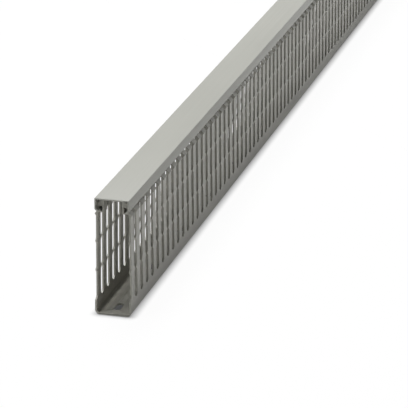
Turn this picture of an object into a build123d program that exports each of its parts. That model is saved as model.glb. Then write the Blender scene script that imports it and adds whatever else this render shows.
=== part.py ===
from build123d import *
import os

# A slotted wire duct: a finger-walled channel with a flat clip-on cover, both of hard grey PVC.
# X runs along the duct, Y across it and Z up. The origin is under the middle of the floor.
# All sizes are in millimetres.

# Overall sizes
LENGTH = 1000.0  # a stock length
WIDTH = 25.0  # across the two ridges below the cover
HEIGHT = 80.0  # from the floor's underside to the top of the cover

# Sheet thicknesses
WALL = 1.2
FLOOR = 1.4
COVER = 1.0

# Channel section
OUTER_RADIUS = 3.0  # outside, where floor and wall meet
INNER_RADIUS = 1.8  # inside, where floor and wall meet
WALL_LEAN = 0.6  # how far a wall leans in between the floor and the ridge
RIDGE = 0.9  # how far the ridge stands out from the wall
RIDGE_FOOT = 1.4  # height of the ridge's lower flank
RIDGE_FLANK = 2.2  # run and rise of the ridge's upper flank
SHOULDER = 1.2  # thickness of the ledge that leads in to the neck
NECK = 1.2  # thickness of the neck
NECK_INSET = 5.6  # from the wall's outer face, at its top, in to the neck's inner face
HEAD_DEPTH = 4.7  # from the head's crest down to the hook's tip
HOOK_TIP = 3.0  # height of the hook's outer face, where the sloped top ends
HOOK_LEAN = 0.6  # how much lower the hook's tip is than its root

# Cover section
FLANGE_DEPTH = 9.0  # from the cover's top down to the lip
COVER_RADIUS = 0.4  # outer top edges
LIP_BEVEL = 1.5  # slope under the flange's outer face
LIP_REACH = 1.5  # how far the lip reaches in from the flange
LIP_NOSE = 0.9  # height of the lip's blunt inner edge

# Clearances between cover and channel
SEAT_CLEARANCE = 0.2  # lip above the ledge
HOOK_CLEARANCE = 0.3  # hook inside the flange
HEAD_CLEARANCE = 0.6  # crest of the head below the cover's sheet

# Wire slots in both walls
SLOT_PITCH = 12.5
SLOT_WIDTH = 6.0
SLOT_FOOT = 10.0  # height of the unslotted band
SLOT_SLOPE = 2.4  # run of each sloped half of the slot's closed end
SLOT_RISE = 1.8  # rise of that slope
NUB_FIRST = 30.2  # height of the lowest pair of nubs
NUB_SPACING = 20.0
NUB_ROWS = 2
NUB_REACH = 2.0  # how far a nub stands into the slot
NUB_BASE = 3.8  # height of a nub along the finger's edge

# Fixing slots in the floor
FIXING_WIDTH = 5.0
FIXING_LENGTH = 12.0
FIXING_PITCH = 75.0
FIXING_END = 12.5  # nearest that a fixing slot's centre comes to an end

# Lines that cover and channel share
wall_top = WIDTH / 2 - RIDGE
flange_in = wall_top - COVER
lip_bottom = HEIGHT - FLANGE_DEPTH
seat = lip_bottom - SEAT_CLEARANCE
head_top = HEIGHT - COVER - HEAD_CLEARANCE


def both_sides(half):
    """A whole section from its right half."""
    return half + mirror(half, about=Plane.YZ)


def channel_section():
    """Floor, wall, ridge, ledge, neck and hooked head, seen along the duct."""
    wall_foot = wall_top + WALL_LEAN
    ridge_tip = seat - RIDGE_FLANK
    neck_in = wall_top - NECK_INSET
    neck_out = neck_in + NECK
    hook_out = flange_in - HOOK_CLEARANCE
    hook_under = head_top - HEAD_DEPTH
    outline = Polyline(
        (0, 0),
        (wall_foot, 0),
        (wall_top, ridge_tip - RIDGE_FOOT),
        (WIDTH / 2, ridge_tip),
        (WIDTH / 2 - RIDGE_FLANK, seat),
        (neck_out, seat),
        (neck_out, hook_under + HOOK_LEAN),
        (hook_out, hook_under),
        (hook_out, hook_under + HOOK_TIP),
        (neck_in, head_top),
        (neck_in, seat - SHOULDER),
        (wall_top - WALL, seat - SHOULDER),
        (wall_foot - WALL, FLOOR),
        (0, FLOOR),
        close=True,
    )
    half = make_face(outline)
    outer_corner = half.vertices().sort_by_distance((wall_foot, 0))[0]
    half = fillet(outer_corner, OUTER_RADIUS)
    inner_corner = half.vertices().sort_by_distance((wall_foot - WALL, FLOOR))[0]
    half = fillet(inner_corner, INNER_RADIUS)
    return both_sides(half)


def cover_section():
    """Flat sheet with two flanges, each ending in a lip that clips under the hooks."""
    lip_in = flange_in - LIP_REACH
    lip_top = lip_bottom + LIP_NOSE
    outline = Polyline(
        (0, HEIGHT),
        (wall_top, HEIGHT),
        (wall_top, lip_bottom + LIP_BEVEL),
        (wall_top - LIP_BEVEL, lip_bottom),
        (lip_in, lip_bottom),
        (lip_in, lip_top),
        (flange_in, lip_top + LIP_REACH),
        (flange_in, HEIGHT - COVER),
        (0, HEIGHT - COVER),
        close=True,
    )
    half = make_face(outline)
    top_edge = half.vertices().sort_by_distance((wall_top, HEIGHT))[0]
    return both_sides(fillet(top_edge, COVER_RADIUS))


def slot_outline():
    """One wire slot, open at the top, with a nub on each edge in every row."""
    half_width = SLOT_WIDTH / 2
    edge = [(0, SLOT_FOOT), (half_width - SLOT_SLOPE, SLOT_FOOT), (half_width, SLOT_FOOT + SLOT_RISE)]
    for row in range(NUB_ROWS):
        middle = NUB_FIRST + row * NUB_SPACING
        edge.append((half_width, middle - NUB_BASE / 2))
        edge.append((half_width - NUB_REACH, middle))
        edge.append((half_width, middle + NUB_BASE / 2))
    edge.append((half_width, HEIGHT))
    edge.append((0, HEIGHT))
    return both_sides(make_face(Polyline(*edge, close=True)))


def wire_slots():
    """All wire slots of both walls; the two end slots run out through the cut ends."""
    fingers = int(LENGTH // SLOT_PITCH)
    one_slot = extrude(Plane.XZ * slot_outline(), amount=WIDTH, both=True)
    slots = GridLocations(SLOT_PITCH, 0, fingers + 1, 1) * one_slot
    end_slot = fingers * SLOT_PITCH / 2
    end_run = LENGTH / 2 + SLOT_PITCH - end_slot
    end_middle = end_slot + end_run / 2
    end_cut = Pos(0, 0, (SLOT_FOOT + HEIGHT) / 2) * Box(end_run, 2 * WIDTH, HEIGHT - SLOT_FOOT)
    return slots + [Pos(end_middle) * end_cut, Pos(-end_middle) * end_cut]


def fixing_slots():
    """A row of oblong screw slots along the middle of the floor."""
    count = int((LENGTH - 2 * FIXING_END) // FIXING_PITCH) + 1
    one_slot = extrude(SlotOverall(FIXING_LENGTH, FIXING_WIDTH), amount=2 * FLOOR, both=True)
    return GridLocations(FIXING_PITCH, 0, count, 1) * one_slot


def duct_base():
    channel = extrude(Plane.YZ * channel_section(), amount=LENGTH / 2, both=True)
    return channel - fixing_slots() - wire_slots()


def cover():
    return extrude(Plane.YZ * cover_section(), amount=LENGTH / 2, both=True)


os.makedirs("parts", exist_ok=True)
export_step(duct_base(), "parts/duct_base.step")
export_step(cover(), "parts/cover.step")
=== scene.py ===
import math

import bmesh
import bpy
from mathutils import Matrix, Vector

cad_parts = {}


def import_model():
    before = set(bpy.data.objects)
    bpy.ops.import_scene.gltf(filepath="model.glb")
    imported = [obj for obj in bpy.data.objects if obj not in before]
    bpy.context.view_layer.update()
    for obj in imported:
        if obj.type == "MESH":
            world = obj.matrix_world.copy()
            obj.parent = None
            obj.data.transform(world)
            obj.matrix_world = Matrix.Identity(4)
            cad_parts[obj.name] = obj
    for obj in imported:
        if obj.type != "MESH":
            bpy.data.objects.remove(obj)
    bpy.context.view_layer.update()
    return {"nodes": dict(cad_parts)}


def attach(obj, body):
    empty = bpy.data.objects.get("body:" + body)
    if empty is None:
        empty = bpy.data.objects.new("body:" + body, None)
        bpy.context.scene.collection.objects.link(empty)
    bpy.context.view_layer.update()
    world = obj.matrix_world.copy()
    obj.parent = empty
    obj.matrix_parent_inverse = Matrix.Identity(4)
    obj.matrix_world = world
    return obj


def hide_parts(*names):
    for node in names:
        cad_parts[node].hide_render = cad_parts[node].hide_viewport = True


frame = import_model()

MM = 0.001
ALONG, ACROSS = 0, 1  # the duct's axes as indices

# Clean-up of the CAD meshes
WELD = 0.001 * MM  # points closer than this become one
FLAT = math.radians(0.2)  # neighbouring faces within this angle become one
PARALLEL = 0.99  # share of an edge's length along an axis that makes it parallel

# Rounding of the punched and extruded edges
NUB_ROUND = 0.9 * MM  # nubs on the slots' edges
END_ROUND = 0.5 * MM  # closed ends of the slots
CORNER_STEPS = 3
HEAD_ROUND = 0.15 * MM  # long edges of the ridge and the hooked heads
HEAD_STEPS = 2
EDGE_ROUND = 0.1 * MM  # every other sharp edge
CHANNEL_EDGE_STEPS = 1
COVER_EDGE_STEPS = 2
SHARP = math.radians(25)  # edges with a larger angle are rounded
CREASE = math.radians(40)  # edges with a larger angle are shaded as creases

# Heights that part the slots' closed ends, the nubs and the heads
BAND_TOP = 5 * MM
NUB_FOOT = 20 * MM
HEAD_FOOT = 66 * MM
WALL_LIMIT = 2 * MM  # an edge shorter than this crosses the wall's thickness
END_LIMIT = 499 * MM  # slot corners beyond this lie too near the sawn ends for wide rounding

# Hard grey PVC, linear colour
BASE_GREY = (0.310, 0.304, 0.266)
COVER_GREY = (0.320, 0.321, 0.288)
PVC_IOR = 1.5
ROUGHNESS = (0.36, 0.44)
CUT_ROUGHNESS = 0.15  # added on cut faces, which look along the duct
CUT_TURN = (0.55, 0.8)  # X of the normal, from skin to cut face

# Noise in the PVC: scale, stretch along X, Y and Z, and detail
STREAKS = (1.0, (6, 700, 700), 3.0)
MOTTLE = (9.0, (1, 3, 3), 3.0)
GRAIN = (1400.0, (1, 1, 1), 2.0)
NOISE_SPAN = (0.3, 0.7)  # the values that noise mostly takes
MOTTLE_TONES = (0.97, 1.03)
STREAK_SPAN = (0.35, 0.65)
STREAK_TONE = 0.8
STREAK_SHARE = 0.10
STREAK_RELIEF = 0.6
GRAIN_RELIEF = 0.4
RELIEF_STRENGTH = 0.12
RELIEF_DEPTH = 0.05 * MM

# Studio: a white sheet that meets the duct in a narrow painted contact shadow, drawn towards the
# near end
WHITE = (1.0, 1.0, 1.0, 1.0)
SHEET_SIZE = 60.0
SHEET_WHITE = (0.95, 0.95, 0.95)
# The sheet's shadows below are painted into its seen colour from ambient occlusion; the lamps'
# cast shadow keeps only a small share
CONTACT_REACH = 6 * MM
CONTACT_LEAN = (1.0, 0.2, 0.7)  # where the light of the contact shadow comes from
CONTACT_SPAN = (0.2, 0.95)  # openness, from full shadow to none
PAINTED_SHADOW_TINT = (0.065, 0.066, 0.068)
SHADE_REACH = 90 * MM  # wide painted shade beside the duct, seen only in its gloss
SHADE_SPAN = (0.5, 0.8)  # openness, from full shade to none
SHADE_TONES = (0.4, 1.0)
OPENNESS_SAMPLES = 16
COVERED = (499 * MM, 9 * MM)  # half length and width of the sheet under the duct's floor, where full shadow is painted
CAST_SHARE = 0.03  # share of the lamps' own cast shadow in the sheet
AMBIENT = 0.01

# Lamps: place, point aimed at, size and power
LAMPS = {
    "key": ((0.0, 0.5, 2.05), (0.0, 0.0, 0.04), (1.8, 0.5), 58.0),
    "fill": ((1.0, -1.7, 0.4), (0.0, 0.0, 0.04), (0.7, 0.7), 4.0),
    "side": ((-1.7, 1.9, 0.7), (-0.4, 0.0, 0.04), (0.8, 0.8), 8.0),
}

# Camera, as in the photograph: raised before the near end, looking along the duct
CAMERA_PLACE = (-1.9192, -0.4486, 0.6191)
CAMERA_AIM = (-0.3201, -0.0120, 0.015)
CAMERA_LENS = 218.9
CAMERA_SENSOR = 36.0


def runs_along(edge, axis):
    """True if an edge is parallel to an axis, given as its index."""
    run = edge.verts[1].co - edge.verts[0].co
    return abs(run[axis]) > PARALLEL * run.length


def sharp_edges(mesh):
    return [e for e in mesh.edges if e.is_manifold and e.calc_face_angle() > SHARP]


def crosses_wall(edge):
    """True for a short edge through a wall's thickness, away from the sawn ends."""
    inside = abs(edge.verts[0].co.x) < END_LIMIT
    return inside and runs_along(edge, ACROSS) and edge.calc_length() < WALL_LIMIT


def slot_corners(mesh, low, high):
    """Corners of the slots' outlines between two heights."""
    return [e for e in sharp_edges(mesh) if crosses_wall(e) and low < e.verts[0].co.z < high]


def round_edges(mesh, edges, width, steps):
    bmesh.ops.bevel(mesh, geom=edges, offset=width, offset_type="OFFSET", segments=steps,
                    profile=0.5, affect="EDGES", clamp_overlap=True)


def plain_faces(node):
    """The node's mesh with each flat face in one piece."""
    mesh = bmesh.new()
    mesh.from_mesh(node.data)
    bmesh.ops.remove_doubles(mesh, verts=mesh.verts, dist=WELD)
    bmesh.ops.dissolve_limit(mesh, angle_limit=FLAT, verts=mesh.verts, edges=mesh.edges)
    return mesh


def make_piece(mesh, name, node_name, body, material):
    """Puts a softened mesh in the place of its CAD node."""
    data = bpy.data.meshes.new(name)
    mesh.to_mesh(data)
    mesh.free()
    data.materials.append(material)
    data.shade_smooth()
    data.set_sharp_from_angle(angle=CREASE)
    piece = bpy.data.objects.new(name, data)
    bpy.context.scene.collection.objects.link(piece)
    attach(piece, body)
    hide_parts(node_name)


def softened_base(material):
    """The channel with rounded nubs and slot ends and softly broken edges."""
    mesh = plain_faces(frame["nodes"]["duct_base"])
    round_edges(mesh, slot_corners(mesh, NUB_FOOT, HEAD_FOOT), NUB_ROUND, CORNER_STEPS)
    round_edges(mesh, slot_corners(mesh, BAND_TOP, NUB_FOOT), END_ROUND, CORNER_STEPS)
    long_edges = [e for e in sharp_edges(mesh) if runs_along(e, ALONG)]
    heads = [e for e in long_edges if e.verts[0].co.z > HEAD_FOOT]
    round_edges(mesh, heads, HEAD_ROUND, HEAD_STEPS)
    round_edges(mesh, sharp_edges(mesh), EDGE_ROUND, CHANNEL_EDGE_STEPS)
    make_piece(mesh, "channel", "duct_base", "base", material)


def softened_cover(material):
    """The cover with softly broken edges."""
    mesh = plain_faces(frame["nodes"]["cover"])
    round_edges(mesh, sharp_edges(mesh), EDGE_ROUND, COVER_EDGE_STEPS)
    make_piece(mesh, "cover_strip", "cover", "cover", material)


class Nodes:
    """Short calls for a material's or world's node tree."""

    def __init__(self, owner):
        owner.use_nodes = True
        self.tree = owner.node_tree
        self.tree.nodes.clear()

    def add(self, kind, inputs=None, **settings):
        """A new node, with each input either linked to a socket or set to a value."""
        node = self.tree.nodes.new(kind)
        for key, value in settings.items():
            setattr(node, key, value)
        for key, value in (inputs or {}).items():
            if isinstance(value, bpy.types.NodeSocket):
                self.tree.links.new(value, node.inputs[key])
            else:
                node.inputs[key].default_value = value
        return node

    def math(self, operation, a, b=0.0):
        return self.add("ShaderNodeMath", {0: a, 1: b}, operation=operation).outputs[0]

    def noise(self, vector, scale, stretch, detail):
        place = self.add("ShaderNodeMapping", {"Vector": vector, "Scale": stretch}).outputs[0]
        inputs = {"Vector": place, "Scale": scale, "Detail": detail}
        return self.add("ShaderNodeTexNoise", inputs).outputs[0]

    def range(self, value, span, target=(0.0, 1.0)):
        """A value carried over from one span to another, and held at its ends."""
        inputs = {"Value": value, "From Min": span[0], "From Max": span[1],
                  "To Min": target[0], "To Max": target[1]}
        return self.add("ShaderNodeMapRange", inputs).outputs[0]

    def mix(self, factor, a, b):
        return self.add("ShaderNodeMix", {0: factor, 6: a, 7: b}, data_type="RGBA").outputs[2]

    def shader_mix(self, factor, a, b):
        return self.add("ShaderNodeMixShader", {0: factor, 1: a, 2: b}).outputs[0]

    def openness(self, reach, lean=(0.0, 0.0, 1.0)):
        """One where nothing stands within reach, less beside and under the duct."""
        facing = self.add("ShaderNodeCombineXYZ", dict(enumerate(lean))).outputs[0]
        facing = self.add("ShaderNodeVectorMath", {0: facing}, operation="NORMALIZE").outputs[0]
        inputs = {"Distance": reach, "Normal": facing}
        node = self.add("ShaderNodeAmbientOcclusion", inputs, samples=OPENNESS_SAMPLES)
        return node.outputs["AO"]

    def seen(self):
        """One for rays from the camera, mirrored or let through, none for scattered light."""
        path = self.add("ShaderNodeLightPath").outputs
        straight = self.math("MAXIMUM", path["Is Camera Ray"], path["Is Transmission Ray"])
        return self.math("MAXIMUM", straight, path["Is Glossy Ray"])


def rgba(colour, factor=1.0):
    return (*[factor * c for c in colour], 1.0)


def pvc(name, grey):
    """Extruded PVC: faint streaks along X, soft mottling, fine grain and rougher cut faces."""
    material = bpy.data.materials.new(name)
    n = Nodes(material)
    place = n.add("ShaderNodeTexCoord").outputs["Object"]
    streaks = n.noise(place, *STREAKS)
    mottle = n.noise(place, *MOTTLE)
    grain = n.noise(place, *GRAIN)

    tones = [rgba(grey, factor) for factor in MOTTLE_TONES]
    skin = n.mix(n.range(mottle, NOISE_SPAN), *tones)
    streaked = n.range(streaks, STREAK_SPAN, (0.0, STREAK_SHARE))
    skin = n.mix(streaked, skin, rgba(grey, STREAK_TONE))

    normal = n.add("ShaderNodeNewGeometry").outputs["True Normal"]
    turn = n.math("ABSOLUTE", n.add("ShaderNodeSeparateXYZ", {0: normal}).outputs["X"])
    cut = n.math("MULTIPLY", n.range(turn, CUT_TURN), CUT_ROUGHNESS)
    rough = n.math("ADD", n.range(streaks, NOISE_SPAN, ROUGHNESS), cut)

    relief = n.math("ADD", n.math("MULTIPLY", streaks, STREAK_RELIEF),
                    n.math("MULTIPLY", grain, GRAIN_RELIEF))
    bump = n.add("ShaderNodeBump", {"Height": relief, "Strength": RELIEF_STRENGTH,
                                    "Distance": RELIEF_DEPTH}).outputs[0]
    surface = n.add("ShaderNodeBsdfPrincipled", {"Base Color": skin, "Roughness": rough,
                                                 "IOR": PVC_IOR, "Normal": bump}).outputs[0]
    n.add("ShaderNodeOutputMaterial", {"Surface": surface})
    return material


def sheet():
    """A plain white sheet with the duct's shadow painted into its colour, and a small share of
    the lamps' cast shadow.
    """
    bpy.ops.mesh.primitive_plane_add(size=SHEET_SIZE)
    plane = bpy.context.object
    plane.name = "studio_sheet"
    material = bpy.data.materials.new("studio_sheet")
    n = Nodes(material)

    # Painted shadow: the contact shadow, and full shadow under the duct's floor
    contact = n.range(n.openness(CONTACT_REACH, CONTACT_LEAN), CONTACT_SPAN)
    point = n.add("ShaderNodeTexCoord").outputs["Object"]
    place = n.add("ShaderNodeSeparateXYZ", {0: point}).outputs
    beyond = [n.math("GREATER_THAN", n.math("ABSOLUTE", place[axis]), COVERED[axis])
              for axis in (ALONG, ACROSS)]
    clear = n.math("MULTIPLY", contact, n.math("MAXIMUM", *beyond))
    tone = n.mix(clear, rgba(PAINTED_SHADOW_TINT), WHITE)

    # The wide painted shade, for the duct's gloss
    shade = n.range(n.openness(SHADE_REACH), SHADE_SPAN, SHADE_TONES)
    tone = n.mix(n.add("ShaderNodeLightPath").outputs["Is Glossy Ray"], tone, shade)

    glow = n.add("ShaderNodeEmission", {"Color": tone}).outputs[0]
    paper = n.add("ShaderNodeBsdfDiffuse", {"Color": rgba(SHEET_WHITE)}).outputs[0]
    shown = n.shader_mix(CAST_SHARE, glow, paper)
    n.add("ShaderNodeOutputMaterial", {"Surface": n.shader_mix(n.seen(), paper, shown)})
    plane.data.materials.append(material)


def world():
    """White where it is seen, a weak even light for everything else."""
    studio = bpy.data.worlds.new("studio")
    bpy.context.scene.world = studio
    n = Nodes(studio)
    strength = n.range(n.seen(), (0.0, 1.0), (AMBIENT, 1.0))
    background = n.add("ShaderNodeBackground", {"Color": WHITE, "Strength": strength}).outputs[0]
    n.add("ShaderNodeOutputWorld", {"Surface": background})


def set_up(name, data, place, aim):
    """Puts a lamp or camera in its place, turned to the point it is aimed at."""
    item = bpy.data.objects.new(name, data)
    item.location = place
    ahead = Vector(aim) - Vector(place)
    item.rotation_euler = ahead.to_track_quat("-Z", "Y").to_euler()
    bpy.context.scene.collection.objects.link(item)
    return item


def lamp(name, place, aim, size, power):
    data = bpy.data.lights.new(name, "AREA")
    data.shape = "RECTANGLE"
    data.size, data.size_y = size
    data.energy = power
    set_up(name, data, place, aim).visible_camera = False


def camera():
    data = bpy.data.cameras.new("photo_view")
    data.lens = CAMERA_LENS
    data.sensor_width = CAMERA_SENSOR
    bpy.context.scene.camera = set_up("photo_view", data, CAMERA_PLACE, CAMERA_AIM)


softened_base(pvc("base_pvc", BASE_GREY))
softened_cover(pvc("cover_pvc", COVER_GREY))
sheet()
world()
for name, settings in LAMPS.items():
    lamp(name, *settings)
camera()
bpy.context.scene.view_settings.view_transform = "Standard"
